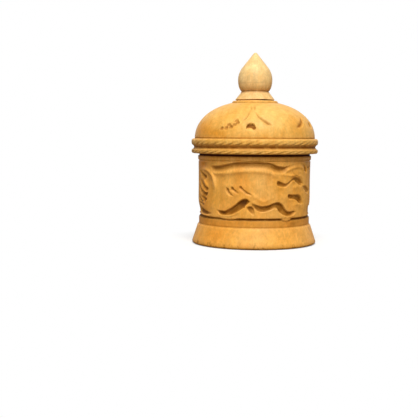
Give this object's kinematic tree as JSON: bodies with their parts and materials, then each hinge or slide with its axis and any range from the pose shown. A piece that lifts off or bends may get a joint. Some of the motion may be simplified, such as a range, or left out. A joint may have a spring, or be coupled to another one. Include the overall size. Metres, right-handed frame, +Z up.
{
  "type": "keepsake box",
  "caption": "Round turned wooden keepsake box: flared foot, carved frieze with a walking beast, and a lift-off domed lid with two rope beads and a bud-shaped knob.",
  "frame": {"origin": "centre of the foot's underside, on the surface that the box stands on", "axes": "+Z up along the turning axis, towards the knob; -Y faces the viewer, through the middle of one carved beast; +X to the viewer's right"},
  "size_m": [0.0534, 0.0534, 0.0799],
  "materials": {
    "pot_wood": "bare turned and carved wood, lightly waxed",
    "lid_wood": "bare turned and carved wood, lightly waxed",
    "knob_wood": "bare turned wood, lightly waxed"
  },
  "bodies": {
    "pot": {"pot": "pot_wood"},
    "lid": {"lid": "lid_wood", "knob": "knob_wood"}
  },
  "joints": [
    {"name": "lid_lift", "type": "slide", "parent": "pot", "child": "lid", "axis": [0, 0, 1], "range_m": [0, 0.045]}
  ]
}
